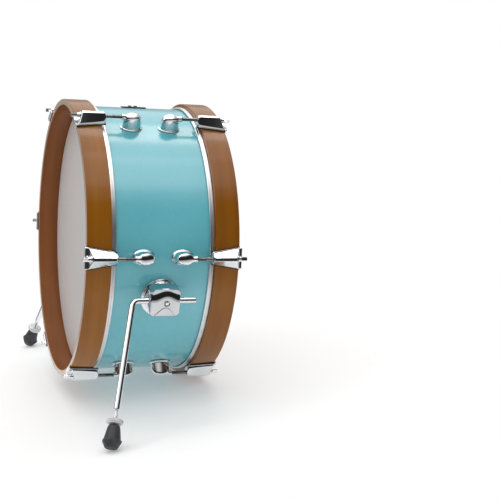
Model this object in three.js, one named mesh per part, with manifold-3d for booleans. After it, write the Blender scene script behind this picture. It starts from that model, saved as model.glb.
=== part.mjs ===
// Small 18 x 7 inch bass drum, standing on two spurs and the bottom of its rear hoop.
//
// Millimetres, +Z up.  The drum is first built about its own axis, which is Y:
// the resonant (front) head faces -Y, the batter (rear) head faces +Y, the
// player's right-hand side is +X.  It is then leaned back by TILT, so that the
// two spur feet and the rear hoop stand on z = 0, and centred on the origin.

import * as THREE from 'three';
import { mergeVertices } from 'three/addons/utils/BufferGeometryUtils.js';
import Module from 'manifold-3d';

const wasm = await Module();
wasm.setup();

// ---------------------------------------------------------------- dimensions
const INCH = 25.4;
const SEG = 60;                       // facets round the drum

const SHELL_R = 9 * INCH;             // outside radius: an 18 inch shell
const SHELL_T = 7.5;                  // wall
const SHELL_HALF = 3.5 * INCH;        // half of the 7 inch depth
const EDGE_R = SHELL_R - 5.0;         // radius of the bearing edge's crest

const HOOP_R = 238.9;                 // outside radius of the wooden hoops
const HOOP_IN = 228.4;                // inside radius
const HOOP_Y0 = 84.4;                 // hoop's inner and outer faces, from mid-depth
const HOOP_Y1 = 124.3;

const FLESH_IN = 230.0;               // aluminium flesh hoop of each head
const FLESH_R = 232.7;
const FLESH_Y0 = 76.3;
const FLESH_Y1 = 84.1;

const HEAD_Y = 89.8;                  // underside of the film
const HEAD_T = 0.8;

const LUG_ANGLES = [30, 90, 150, 210, 270, 330];   // from the top, towards +X
const ROD_R = 249.0;                  // tension rods' distance from the drum's axis

const CLAW_BASE = 239.2;              // claw's underside, just clear of the hoop
const CLAW_TOP = 256.4;
const CLAW_Y0 = 77.0;                 // narrow end
const CLAW_Y1 = 127.4;                // wide end, over the hoop's rim
const CLAW_W0 = 9.6;                  // half widths
const CLAW_W1 = 17.0;

const SPUR_R = 260.0;                 // spur rod's axis, from the drum's axis
const SPUR_ANGLE = 104.5;             // from the top
const SPUR_ROD = 4.9;                 // rod radius
const SPUR_BEND_R = 11.0;             // centreline radius of the bend
const SPUR_BEND = 77.1;               // degrees turned, from the rod's axis to the leg
const SPUR_LEG = 234.3;               // corner to the foot's sole
const SPUR_STUB = 102.0;              // corner to the rod's rear end

// corner: where the rod's axis and the leg's axis cross; swing: leg out from vertical
const SPURS = {
  right: { side: 1, corner: -52.0, swing: 28.392 },
  left: { side: -1, corner: -68.0, swing: 27.125 },
};

const TILT = 8.0;                     // degrees that the front is raised

// ------------------------------------------------------------------- helpers
const rad = THREE.MathUtils.degToRad;
const materials = {
  lacquer: [0x6bb5bf, 0.15, 0.0],
  wood: [0x9a6230, 0.4, 0.0],
  aluminium: [0xd5d6d8, 0.3, 0.9],
  chrome: [0xdadcde, 0.08, 1.0],
  film: [0xd9d8d6, 0.55, 0.0],
  steel: [0x9a9b9c, 0.3, 1.0],
  dark_steel: [0x3a3b3d, 0.4, 0.8],
  rubber: [0x2b2c2e, 0.8, 0.0],
  nylon: [0x9c9ca4, 0.4, 0.0],
};

function solid(geometry, matrix) {
  const g = geometry.clone();
  if (matrix) g.applyMatrix4(matrix);
  g.deleteAttribute('normal');
  g.deleteAttribute('uv');
  const m = mergeVertices(g, 1e-4);
  const out = new wasm.Manifold(new wasm.Mesh({
    numProp: 3,
    vertProperties: new Float32Array(m.attributes.position.array),
    triVerts: new Uint32Array(m.index.array),
  }));
  return out;
}

function geometryOf(manifold) {
  const m = manifold.getMesh();
  const g = new THREE.BufferGeometry();
  g.setAttribute('position', new THREE.BufferAttribute(new Float32Array(m.vertProperties), 3));
  g.setIndex(new THREE.BufferAttribute(new Uint32Array(m.triVerts), 1));
  g.computeVertexNormals();
  return g;
}

function piece(name, manifold, look) {
  const [color, roughness, metalness] = materials[look];
  const mesh = new THREE.Mesh(
    geometryOf(manifold),
    new THREE.MeshStandardMaterial({ color, roughness, metalness, flatShading: true }),
  );
  mesh.name = name;
  return mesh;
}

// A profile of [radius, y] pairs revolved about Y.  It either starts and ends
// on the axis or closes on itself.
function revolve(profile, segments = SEG) {
  let area = 0;
  profile.forEach(([r, y], i) => {
    const [r2, y2] = profile[(i + 1) % profile.length];
    area += r * y2 - r2 * y;
  });
  const pts = area > 0 ? profile.slice() : profile.slice().reverse();
  const onAxis = pts.some(([r]) => r === 0);
  let ring = pts;
  if (onAxis) {
    // rotate the list so that it starts and ends on the axis
    const n = pts.length;
    let k = pts.findIndex(([r], i) => r === 0 && pts[(i + n - 1) % n][0] === 0);
    if (k < 0) k = 0;
    ring = pts.slice(k).concat(pts.slice(0, k));
  } else {
    ring = pts.concat([pts[0]]);
  }
  return solid(new THREE.LatheGeometry(ring.map(([r, y]) => new THREE.Vector2(r, y)), segments));
}

// Cylinder along Y from y0 to y1.
function rodY(r, y0, y1, sides, x = 0, z = 0, r2 = r) {
  const g = new THREE.CylinderGeometry(r2, r, y1 - y0, sides);
  return solid(g, new THREE.Matrix4().makeTranslation(x, (y0 + y1) / 2, z));
}

// Cylinder along Z from z0 to z1.
function rodZ(r, z0, z1, sides, x = 0, y = 0, r2 = r) {
  const g = new THREE.CylinderGeometry(r2, r, z1 - z0, sides);
  g.rotateX(Math.PI / 2);
  return solid(g, new THREE.Matrix4().makeTranslation(x, y, (z0 + z1) / 2));
}

function block(x0, x1, y0, y1, z0, z1) {
  const g = new THREE.BoxGeometry(x1 - x0, y1 - y0, z1 - z0);
  return solid(g, new THREE.Matrix4().makeTranslation((x0 + x1) / 2, (y0 + y1) / 2, (z0 + z1) / 2));
}

// Outline in two axes, extruded along the third.
function plate(points, a, b, axis) {
  const g = new THREE.ExtrudeGeometry(new THREE.Shape(points.map(([u, v]) => new THREE.Vector2(u, v))), {
    depth: b - a, bevelEnabled: false, curveSegments: 4,
  });
  g.translate(0, 0, a);
  if (axis === 'y') {            // outline in x, z
    g.rotateX(-Math.PI / 2);     // z(depth) -> y, y(outline) -> -z
    g.scale(1, 1, -1);
    const i = g.index;
    if (i) { for (let k = 0; k < i.count; k += 3) { const t = i.getX(k); i.setX(k, i.getX(k + 1)); i.setX(k + 1, t); } }
    else {
      const p = g.attributes.position;
      const v = new THREE.Vector3(), w = new THREE.Vector3();
      for (let k = 0; k < p.count; k += 3) {
        v.fromBufferAttribute(p, k); w.fromBufferAttribute(p, k + 1);
        p.setXYZ(k, w.x, w.y, w.z); p.setXYZ(k + 1, v.x, v.y, v.z);
      }
    }
  } else if (axis === 'x') {     // outline in y, z
    const m = new THREE.Matrix4().set(0, 0, 1, 0, 1, 0, 0, 0, 0, 1, 0, 0, 0, 0, 0, 1);
    g.applyMatrix4(m);
  }
  return solid(g);
}

function roundedRect(w, h, r, n = 4) {
  const pts = [];
  for (const [cx, cy, a0] of [[w - r, h - r, 0], [-w + r, h - r, 90], [-w + r, -h + r, 180], [w - r, -h + r, 270]]) {
    for (let i = 0; i <= n; i += 1) {
      const a = rad(a0 + (90 * i) / n);
      pts.push([cx + r * Math.cos(a), cy + r * Math.sin(a)]);
    }
  }
  return pts;
}

// ------------------------------------------------------------ shell and heads
const drum = new THREE.Group();

drum.add(piece('shell', revolve([
  [SHELL_R, -SHELL_HALF + 5.0], [SHELL_R, SHELL_HALF - 5.0], [EDGE_R, SHELL_HALF],
  [SHELL_R - SHELL_T, SHELL_HALF - 2.5], [SHELL_R - SHELL_T, -SHELL_HALF + 2.5], [EDGE_R, -SHELL_HALF],
]), 'lacquer'));

const hoop = revolve([
  [HOOP_IN + 2.8, HOOP_Y0], [HOOP_R - 1.0, HOOP_Y0], [HOOP_R, HOOP_Y0 + 1.0], [HOOP_R, HOOP_Y1 - 1.3],
  [HOOP_R - 1.3, HOOP_Y1], [HOOP_IN + 1.2, HOOP_Y1], [HOOP_IN, HOOP_Y1 - 1.2], [HOOP_IN, HOOP_Y0 + 2.8],
]);
const flesh = revolve([[FLESH_IN, FLESH_Y0], [FLESH_R, FLESH_Y0], [FLESH_R, FLESH_Y1], [FLESH_IN, FLESH_Y1]]);
const film = revolve([
  [0, HEAD_Y], [221.8, HEAD_Y], [224.0, HEAD_Y - 0.6], [229.0, HEAD_Y - 5.6], [229.0, 78.0],
  [229.6, 78.0], [229.6, HEAD_Y - 5.3], [224.4, HEAD_Y + 0.1], [222.0, HEAD_Y + HEAD_T], [0, HEAD_Y + HEAD_T],
]);

// -------------------------------------------------------------- claw, rod, lug
// Local frame: z out from the drum's axis, y along it away from mid-depth.
// The claw is a tapered ridge with faces from apex to base, open at its wide end
// over a flat shelf, with a lip that hooks over the hoop's rim.
function clawSolid() {
  const plan = plate([
    [-CLAW_W1, CLAW_Y1], [-CLAW_W1, CLAW_Y1 - 3.5], [-CLAW_W0, CLAW_Y0 + 2.5], [-CLAW_W0 + 2.5, CLAW_Y0],
    [CLAW_W0 - 2.5, CLAW_Y0], [CLAW_W0, CLAW_Y0 + 2.5], [CLAW_W1, CLAW_Y1 - 3.5], [CLAW_W1, CLAW_Y1],
  ], 225, 260, 'z');
  const corners = [];
  for (const x of [-1, 1]) {
    for (const z of [CLAW_BASE, 243.2]) {
      corners.push([x * (CLAW_W0 - 2.5), CLAW_Y0, z], [x * CLAW_W0, CLAW_Y0 + 2.5, z], [x * 16.6, 122.0, z]);
    }
    corners.push([x * 1.9, CLAW_Y0, 252.4], [x * 1.9, 80.0, CLAW_TOP], [x * 1.9, 116.0, CLAW_TOP]);
  }
  const ridge = wasm.Manifold.hull(corners);
  const shelf = plan.intersect(plate([
    [CLAW_Y0, CLAW_BASE], [CLAW_Y1, CLAW_BASE], [CLAW_Y1, 242.6], [CLAW_Y0, 242.6],
  ], -20, 20, 'x'));
  let claw = ridge.add(shelf);
  claw = claw.add(block(-CLAW_W1 + 0.8, CLAW_W1 - 0.8, HOOP_Y1 + 0.4, CLAW_Y1 - 0.4, 234.6, CLAW_BASE + 3));
  claw = claw.subtract(rodY(3.9, 70, 119, 8, 0, ROD_R));
  claw = claw.subtract(rodY(6.1, 117.0, 135, 12, 0, ROD_R));
  return claw;
}
const claw = clawSolid();

// Key rod, about its own axis: shaft, washer face, collar, square head.
const keyRod = rodY(3.0, 30, 118.0, 8)
  .add(rodY(5.7, 117.4, 119.4, 12))
  .add(rodY(4.2, 119.0, 124.0, 8))
  .add(block(-3.1, 3.1, 123.5, 133.4, -3.1, 3.1));

// Lug: a bullet-shaped casting with a round mouth for the rod.
function lugSolid() {
  const dome = new THREE.SphereGeometry(1, 20, 14);
  const m = new THREE.Matrix4().compose(new THREE.Vector3(0, 32, 240), new THREE.Quaternion(), new THREE.Vector3(15.5, 17, 16));
  const oval = (r, ry, z0, z1, r2) => rodZ(r, z0, z1, 20, 0, 0, r2)
    .transform(new THREE.Matrix4().makeScale(1, ry / r, 1).setPosition(0, 31.8, 0).elements);
  let lug = oval(10.8, 16.4, 229.2, 258, 9.0).intersect(solid(dome, m).add(block(-30, 30, -10, 80, 200, 241)));
  lug = lug.add(oval(12.4, 18.2, 229.2, 230.6, 12.0));
  lug = lug.add(rodY(4.9, 38, 50.5, 12, 0, ROD_R));
  lug = lug.subtract(rodY(3.7, 27.5, 60, 8, 0, ROD_R));
  return lug;
}
const lug = lugSolid();

function about(angle, front) {
  const turn = new THREE.Group();
  turn.rotation.y = rad(angle);
  const face = new THREE.Group();
  face.rotation.z = front ? Math.PI : 0;
  turn.add(face);
  drum.add(turn);
  return face;
}

for (const end of ['front', 'rear']) {
  const front = end === 'front';
  const face = about(0, front);
  face.add(piece(`${end}_hoop`, hoop, 'wood'));
  face.add(piece(`${end}_flesh_hoop`, flesh, 'aluminium'));
  face.add(piece(`${end}_head`, film, 'film'));
  LUG_ANGLES.forEach((angle, i) => {
    const at = about(angle, front);
    at.add(piece(`${end}_claw_${i + 1}`, claw, 'chrome'));
    at.add(piece(`${end}_lug_${i + 1}`, lug, 'chrome'));
    const rod = piece(`${end}_key_rod_${i + 1}`, keyRod, 'steel');
    rod.position.set(0, 0, ROD_R);
    at.add(rod);
  });
}

// ------------------------------------------------------------ holder base plate
const plateSolid = plate(roundedRect(11, 21, 5, 4), 220, 230.5, 'z')
  .subtract(revolve([[0, -60], [SHELL_R + 0.35, -60], [SHELL_R + 0.35, 60], [0, 60]]))
  .subtract(rodZ(2.3, 215, 240, 10, 0, -6.5))
  .subtract(rodZ(2.3, 215, 240, 10, 0, 3.3));
const holder = piece('holder_plate', plateSolid, 'dark_steel');
holder.position.y = -2;
drum.add(holder);
[-8.5, 1.3].forEach((y, i) => {
  const screw = piece(`holder_plate_screw_${i + 1}`,
    rodZ(1.9, 229.3, 231.0, 10).add(rodZ(3.4, 230.8, 231.6, 12)).add(rodZ(3.4, 231.6, 232.5, 12, 0, 0, 2.2)), 'dark_steel');
  screw.position.y = y;
  drum.add(screw);
});

// ----------------------------------------------------------------------- spurs
// Rod: a straight stub along the drum's axis, one bend, and a leg with a
// turned-down threaded end.  Local frame: origin at the corner, stub along +Y,
// leg in the plane of -Y and -Z.
class BentLine extends THREE.Curve {
  constructor(points, tangents) { super(); this.points = points; this.tangents = tangents; }

  getPoint(t) {
    const n = this.points.length - 1;
    const k = Math.min(Math.floor(t * n + 1e-9), n - 1);
    return this.points[k].clone().lerp(this.points[k + 1], t * n - k);
  }

  getPointAt(u) { return this.getPoint(u); }

  getTangentAt(u) {
    const n = this.tangents.length - 1;
    return this.tangents[Math.round(u * n)].clone();
  }
}

const bend = rad(SPUR_BEND);
const legDir = new THREE.Vector3(0, -Math.cos(bend), -Math.sin(bend));
const FOOT_LEN = 35.8;
const NUT0 = 37.2;                     // from the sole, along the leg
const NUT1 = 44.8;
const THREAD_R = 3.7;
const THICK_FROM = 59.0;               // where the rod's full diameter starts
const PIN_TO = 14.0;                   // the threaded end stops here, inside the foot

function spurRodSolid() {
  const back = SPUR_BEND_R * Math.tan(bend / 2);
  const pts = [new THREE.Vector3(0, SPUR_STUB, 0)];
  const tans = [new THREE.Vector3(0, -1, 0)];
  const centre = new THREE.Vector3(0, back, -SPUR_BEND_R);
  const n = 9;
  for (let i = 0; i <= n; i += 1) {
    const a = (bend * i) / n;
    pts.push(new THREE.Vector3(0, centre.y - SPUR_BEND_R * Math.sin(a), centre.z + SPUR_BEND_R * Math.cos(a)));
    tans.push(new THREE.Vector3(0, -Math.cos(a), -Math.sin(a)));
  }
  pts.push(legDir.clone().multiplyScalar(SPUR_LEG - THICK_FROM));
  tans.push(legDir.clone());
  const circle = [];
  for (let i = 0; i < 16; i += 1) {
    const a = (2 * Math.PI * i) / 16;
    circle.push(new THREE.Vector2(SPUR_ROD * Math.cos(a), SPUR_ROD * Math.sin(a)));
  }
  const g = new THREE.ExtrudeGeometry(new THREE.Shape(circle), {
    steps: pts.length - 1, extrudePath: new BentLine(pts, tans), bevelEnabled: false,
  });
  return solid(g).add(alongLeg(rodY(THREAD_R, SPUR_LEG - THICK_FROM - 2, SPUR_LEG - PIN_TO, 12)));
}

// Turns a solid made along +Y so that it lies along the leg, its y = distance
// from the corner.
function alongLeg(m) {
  const q = new THREE.Quaternion().setFromUnitVectors(new THREE.Vector3(0, 1, 0), legDir);
  const x = new THREE.Matrix4().makeRotationFromQuaternion(q);
  return m.transform(x.elements);
}

const spurRod = spurRodSolid();
const footSolid = (() => {
  const L = SPUR_LEG;
  const outer = revolve([
    [0, L - FOOT_LEN], [8.4, L - FOOT_LEN], [9.2, L - FOOT_LEN + 1.2], [14.8, L - 12.5], [15.1, L - 10.5],
    [9.6, L - 0.9], [8.2, L], [0, L],
  ], 20);
  return outer.subtract(rodY(THREAD_R + 0.35, L - FOOT_LEN - 2, L - PIN_TO + 9, 12));
})();
const nutSolid = revolve([
  [THREAD_R + 0.35, SPUR_LEG - NUT1], [11.6, SPUR_LEG - NUT1], [13.0, SPUR_LEG - NUT1 + 1.2], [13.0, SPUR_LEG - NUT0 - 1.2],
  [11.6, SPUR_LEG - NUT0], [THREAD_R + 0.35, SPUR_LEG - NUT0],
], 18);

// Bracket: a stepped round base on the shell, a square block screwed to it with
// the bore for the rod's bushing, and the key screw in the block's face.
// Local frame: z out from the drum's axis, y along it, origin on the drum's axis.
function spurBase(side) {
  const x = 8.2 * side;
  const disc = rodZ(32.4, 224, 232.8, 30, x).add(rodZ(32.4, 232.8, 234.2, 30, x, 0, 31.0))
    .add(rodZ(27.0, 233, 238.2, 24, x * 0.85, 0, 26.0)).add(rodZ(21.0, 238, 242.9, 20, x * 0.35, 0, 20.2));
  const cut = revolve([[0, -60], [SHELL_R + 0.35, -60], [SHELL_R + 0.35, 60], [0, 60]])
    .transform(new THREE.Matrix4().makeRotationY(-rad(SPUR_ANGLE * side)).elements);
  return disc.subtract(cut);
}

function spurBlock(side) {
  const at = (w, h, r, z0, z1, x, y) => plate(roundedRect(w, h, r, 5), z0, z1, 'z')
    .transform(new THREE.Matrix4().makeTranslation(x * side, y, 0).elements);
  const body = at(22.0, 22.8, 7.2, 243.3, 268.0, 0, -1.3);
  const cap = at(23.1, 24.1, 7.6, 264.5, 270.2, -0.9, -2.5).add(at(20.6, 22.6, 6.4, 270.0, 272.0, 1.2, -2.5));
  return body.add(cap).subtract(rodY(7.9, -40, 40, 16, 0, SPUR_R))
    .subtract(rodY(10.0, -40, -24.1, 16, 0, SPUR_R))
    .subtract(rodZ(3.4, 262, 275, 12))
    .subtract(rodZ(4.8, 269.6, 275, 16));
}

const bushing = revolve([
  [5.15, -26.9], [9.6, -26.9], [9.6, -24.5], [7.45, -24.5], [7.45, 21.6], [5.15, 21.6],
], 16);
const keyScrew = rodZ(3.05, 267.9, 270.0, 12).add(block(-2.5, 2.5, -2.5, 2.5, 269.8, 272.6));

for (const [name, s] of Object.entries(SPURS)) {
  const at = about(SPUR_ANGLE * s.side, false);
  at.add(piece(`${name}_spur_base`, spurBase(s.side), 'chrome'));
  at.add(piece(`${name}_spur_block`, spurBlock(s.side), 'chrome'));
  const screw = piece(`${name}_spur_key_screw`, keyScrew, 'steel');
  at.add(screw);

  const theta = rad(SPUR_ANGLE * s.side);
  const seat = new THREE.Group();                 // on the rod's axis, level with mid-depth
  seat.position.set(SPUR_R * Math.sin(theta), 0, SPUR_R * Math.cos(theta));
  drum.add(seat);
  seat.add(piece(`${name}_spur_bushing`, bushing, 'nylon'));
  const leg = new THREE.Group();
  leg.position.y = s.corner;
  leg.rotation.y = -rad(s.swing * s.side);        // leg hangs out from vertical
  seat.add(leg);
  leg.add(piece(`${name}_spur_rod`, spurRod, 'chrome'));
  leg.add(piece(`${name}_spur_lock_nut`, alongLeg(nutSolid), 'steel'));
  leg.add(piece(`${name}_spur_foot`, alongLeg(footSolid), 'rubber'));
}

// ---------------------------------------------------------- standing on z = 0
const group = new THREE.Group();
drum.rotation.x = -rad(TILT);
group.add(drum);
group.updateMatrixWorld(true);
const box = new THREE.Box3().setFromObject(group, true);
drum.position.set(-(box.min.x + box.max.x) / 2, -(box.min.y + box.max.y) / 2, -box.min.z);
group.updateMatrixWorld(true);

export default group;
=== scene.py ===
"""Looks of a small bass drum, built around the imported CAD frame.

Lengths in this file are millimetres in the drum's own frame (axis Y, front
head towards -Y, top +Z) unless a name ends in _m; DRUM carries them into the
row frame.
"""
import math

import bmesh
import bpy
import numpy as np
from mathutils import Matrix, Vector


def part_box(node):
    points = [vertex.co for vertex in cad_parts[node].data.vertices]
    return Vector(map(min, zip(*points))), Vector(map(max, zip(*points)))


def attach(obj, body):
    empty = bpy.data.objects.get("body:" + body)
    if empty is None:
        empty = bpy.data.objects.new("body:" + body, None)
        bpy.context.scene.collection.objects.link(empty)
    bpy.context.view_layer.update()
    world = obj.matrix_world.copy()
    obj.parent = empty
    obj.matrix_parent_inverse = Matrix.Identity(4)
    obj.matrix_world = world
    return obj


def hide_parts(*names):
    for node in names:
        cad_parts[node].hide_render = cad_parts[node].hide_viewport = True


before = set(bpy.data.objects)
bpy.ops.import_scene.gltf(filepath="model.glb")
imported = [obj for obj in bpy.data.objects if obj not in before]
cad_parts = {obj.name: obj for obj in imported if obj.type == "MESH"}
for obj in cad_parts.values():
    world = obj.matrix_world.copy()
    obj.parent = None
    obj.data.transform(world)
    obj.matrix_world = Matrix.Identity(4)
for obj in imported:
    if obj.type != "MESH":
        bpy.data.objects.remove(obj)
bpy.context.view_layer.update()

rad = math.radians
lo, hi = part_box("shell")
TILT = 8.0
DRUM = Matrix.Translation((lo + hi) / 2) @ Matrix.Rotation(-rad(TILT), 4, "X")
SPUR_ANGLE = 104.5
SPUR_R = 260.0
SPURS = {"right": (1, -52.0, 28.392), "left": (-1, -68.0, 27.125)}
LEG, BEND, BEND_R, STUB = 234.3, rad(77.1), 11.0, 102.0
ANGLES = [30, 90, 150, 210, 270, 330]


# ------------------------------------------------------------------ placement
def mm(matrix):
    out = matrix.copy()
    out.translation = out.translation * 0.001
    return out


def about(angle, front=False):
    """Frame at an angle round the drum: z out from the axis, y along it, away from mid-depth."""
    m = Matrix.Rotation(rad(angle), 4, "Y")
    return m @ Matrix.Rotation(math.pi, 4, "Z") if front else m


# --------------------------------------------------------------------- meshes
def add(name, verts, faces, mats, body, nodes=(), at=None, normals=None, slots=None,
        sharp=35.0, weighted=True, fix=True):
    """Makes one piece. verts are mm in the frame `at`, which is mm in the drum's frame."""
    mesh = bpy.data.meshes.new(name)
    mesh.from_pydata((np.asarray(verts, float) * 0.001).tolist(), [], [list(map(int, f)) for f in faces])
    if not isinstance(mats, (list, tuple)):
        mats = [mats]
    for m in mats:
        mesh.materials.append(m)
    if slots is not None:
        mesh.polygons.foreach_set("material_index", np.asarray(slots, np.int32))
    if fix and normals is None:
        bm = bmesh.new()
        bm.from_mesh(mesh)
        bmesh.ops.recalc_face_normals(bm, faces=bm.faces)
        bm.to_mesh(mesh)
        bm.free()
    mesh.polygons.foreach_set("use_smooth", np.ones(len(mesh.polygons), bool))
    if normals is not None:
        mesh.normals_split_custom_set_from_vertices(np.asarray(normals).tolist())
    elif sharp is not None:
        mesh.set_sharp_from_angle(angle=rad(sharp))
    mesh.update()
    return place(name, mesh, body, nodes, at, weighted and normals is None)


def place(name, mesh, body, nodes=(), at=None, weighted=False):
    obj = bpy.data.objects.new(name, mesh)
    bpy.context.scene.collection.objects.link(obj)
    obj.matrix_world = DRUM @ mm(at if at is not None else Matrix.Identity(4))
    if weighted:
        w = obj.modifiers.new("normals", "WEIGHTED_NORMAL")
        w.keep_sharp = True
        w.weight = 90
    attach(obj, body)
    if nodes:
        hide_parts(*nodes)
    return obj


def fillet(points, n=4):
    """Rounds a closed outline. points are (u, v, radius); returns (u, v) pairs."""
    out = []
    count = len(points)
    for i in range(count):
        p0 = np.array(points[i - 1][:2], float)
        p1 = np.array(points[i][:2], float)
        p2 = np.array(points[(i + 1) % count][:2], float)
        r = points[i][2] if len(points[i]) > 2 else 0
        if r <= 0:
            out.append(tuple(p1))
            continue
        a, b = p0 - p1, p2 - p1
        la, lb = np.linalg.norm(a), np.linalg.norm(b)
        a, b = a / la, b / lb
        cos = float(np.clip(a @ b, -1, 1))
        half = math.acos(cos) / 2
        t = min(r / math.tan(half), la * 0.49, lb * 0.49)
        r = t * math.tan(half)
        c = p1 + (a + b) / np.linalg.norm(a + b) * (r / math.sin(half))
        s, e = p1 + a * t, p1 + b * t
        a0 = math.atan2(*(s - c)[::-1])
        a1 = math.atan2(*(e - c)[::-1])
        d = (a1 - a0 + math.pi) % (2 * math.pi) - math.pi
        for k in range(n + 1):
            ang = a0 + d * k / n
            out.append((c[0] + r * math.cos(ang), c[1] + r * math.sin(ang)))
    return out


def lathe(profile, seg, ripple=None):
    """Closed (r, y) outline revolved about Y. Points with r == 0 are merged on the axis."""
    prof = np.array([p[:2] for p in profile], float)
    n = len(prof)
    ang = np.linspace(0, 2 * math.pi, seg, endpoint=False)
    verts, index = [], -np.ones((n, seg), int)
    for i, (r, y) in enumerate(prof):
        if r < 1e-6:
            index[i, :] = len(verts)
            verts.append((0, y, 0))
            continue
        for j, a in enumerate(ang):
            rr = r if ripple is None else ripple(i, r, a)
            index[i, j] = len(verts)
            verts.append((rr * math.sin(a), y, rr * math.cos(a)))
    faces = []
    for i in range(n):
        k = (i + 1) % n
        for j in range(seg):
            l = (j + 1) % seg
            q = [index[i, j], index[k, j], index[k, l], index[i, l]]
            q = [v for m, v in enumerate(q) if v not in q[:m]]
            if len(q) > 2:
                faces.append(q)
    return np.array(verts), faces


def stack(rings, cap=True):
    """Skins a list of closed rings (each N x 3), and caps both ends with a fan."""
    n = len(rings[0])
    verts = np.concatenate([np.asarray(r, float) for r in rings])
    faces = []
    for i in range(len(rings) - 1):
        a, b = i * n, (i + 1) * n
        for j in range(n):
            k = (j + 1) % n
            faces.append([a + j, a + k, b + k, b + j])
    if cap:
        for i, flip in ((0, True), (len(rings) - 1, False)):
            c = len(verts)
            verts = np.vstack([verts, np.mean(rings[i], axis=0)])
            for j in range(n):
                k = (j + 1) % n
                f = [i * n + j, i * n + k, c]
                faces.append(f[::-1] if flip else f)
    return verts, faces


def smax(a, b, k):
    h = np.maximum(k - np.abs(a - b), 0.0) / k
    return np.maximum(a, b) + h * h * k * 0.25


def smin(a, b, k):
    return -smax(-a, -b, k)


def skin(f, lo, hi, step):
    """Surface where f is 0: a quad mesh snapped to f, with f's own normals."""
    lo, hi = np.array(lo, float), np.array(hi, float)
    n = np.ceil((hi - lo) / step).astype(int) + 1
    axes = [lo[i] + np.arange(n[i]) * step for i in range(3)]
    g = np.stack(np.meshgrid(*axes, indexing="ij"), -1).reshape(-1, 3)
    v = np.concatenate([f(c) for c in np.array_split(g, max(1, len(g) // 200000))]).reshape(n)
    v = np.where(v == 0, 1e-9, v)
    inside = v < 0
    total = np.zeros(tuple(n - 1) + (3,))
    count = np.zeros(tuple(n - 1))
    quads = []
    for ax in range(3):
        o1, o2 = [a for a in range(3) if a != ax]
        s0 = [slice(None)] * 3
        s1 = [slice(None)] * 3
        s0[ax], s1[ax] = slice(0, -1), slice(1, None)
        a, b = v[tuple(s0)], v[tuple(s1)]
        cross = (a < 0) != (b < 0)
        idx = np.argwhere(cross)
        t = a[cross] / (a[cross] - b[cross])
        pos = idx.astype(float)
        pos[:, ax] += t
        for d1 in (0, -1):
            for d2 in (0, -1):
                c = idx.copy()
                c[:, o1] += d1
                c[:, o2] += d2
                ok = ((c >= 0) & (c < n - 1)).all(1)
                np.add.at(total, tuple(c[ok].T), pos[ok])
                np.add.at(count, tuple(c[ok].T), 1)
        ok = (idx[:, o1] > 0) & (idx[:, o2] > 0) & (idx[:, o1] < n[o1] - 1) & (idx[:, o2] < n[o2] - 1)
        idx = idx[ok]
        neg = inside[tuple(idx.T)]
        corner = []
        for d1, d2 in ((-1, -1), (0, -1), (0, 0), (-1, 0)):
            c = idx.copy()
            c[:, o1] += d1
            c[:, o2] += d2
            corner.append(c)
        q = np.stack([np.ravel_multi_index(c.T, n - 1) for c in corner], 1)
        flip = neg if ax == 1 else ~neg
        q[flip] = q[flip][:, ::-1]
        quads.append(q)
    used = count.reshape(-1) > 0
    number = np.cumsum(used) - 1
    verts = (total.reshape(-1, 3)[used] / count.reshape(-1)[used][:, None]) * step + lo
    faces = number[np.concatenate(quads)]

    def grad(p, h):
        out = np.empty_like(p)
        for i in range(3):
            e = np.zeros(3)
            e[i] = h
            out[:, i] = (f(p + e) - f(p - e)) / (2 * h)
        return out

    start = verts.copy()
    for _ in range(4):
        gr = grad(verts, step * 0.1)
        verts = verts - gr * (f(verts) / np.maximum((gr * gr).sum(1), 0.2))[:, None]
        move = verts - start
        size = np.linalg.norm(move, axis=1)
        big = size > step * 0.6
        verts[big] = start[big] + move[big] * (step * 0.6 / size[big])[:, None]
    gr = grad(verts, step * 0.3)
    normals = gr / np.maximum(np.linalg.norm(gr, axis=1), 1e-9)[:, None]
    return verts, faces, normals


# ------------------------------------------------------------------ materials
def new_material(name):
    mat = bpy.data.materials.new(name)
    mat.use_nodes = True
    nt = mat.node_tree
    nt.nodes.clear()
    return mat, nt


def node(nt, kind, inputs=None, out=0, **attrs):
    n = nt.nodes.new("ShaderNode" + kind)
    for k, v in attrs.items():
        setattr(n, k, v)
    for k, v in (inputs or {}).items():
        s = n.inputs[k]
        if isinstance(v, bpy.types.NodeSocket):
            nt.links.new(v, s)
        else:
            s.default_value = v
    return n.outputs[out]


def ramp(nt, fac, stops, interpolation="LINEAR"):
    n = nt.nodes.new("ShaderNodeValToRGB")
    n.color_ramp.interpolation = interpolation
    el = n.color_ramp.elements
    while len(el) > 1:
        el.remove(el[-1])
    el[0].position = stops[0][0]
    el[0].color = tone(stops[0][1])
    for p, c in stops[1:]:
        e = el.new(p)
        e.color = tone(c)
    nt.links.new(fac, n.inputs[0])
    return n.outputs[0]


def tone(c):
    return (c, c, c, 1.0) if isinstance(c, (int, float)) else (*c[:3], 1.0)


def srgb(r, g, b):
    def lin(c):
        c /= 255
        return c / 12.92 if c <= 0.04045 else ((c + 0.055) / 1.055) ** 2.4
    return (lin(r), lin(g), lin(b))


def spread(nt, value, lowest, highest, a=0.0, b=1.0):
    return node(nt, "MapRange", {"Value": value, "From Min": a, "From Max": b, "To Min": lowest, "To Max": highest})


def mix(nt, fac, a, b, blend="MIX"):
    n = nt.nodes.new("ShaderNodeMix")
    n.data_type = "RGBA"
    n.blend_type = blend
    for i, v in ((0, fac), (6, a), (7, b)):
        if isinstance(v, bpy.types.NodeSocket):
            nt.links.new(v, n.inputs[i])
        else:
            n.inputs[i].default_value = v if i == 0 else tone(v)
    return n.outputs[2]


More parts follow.
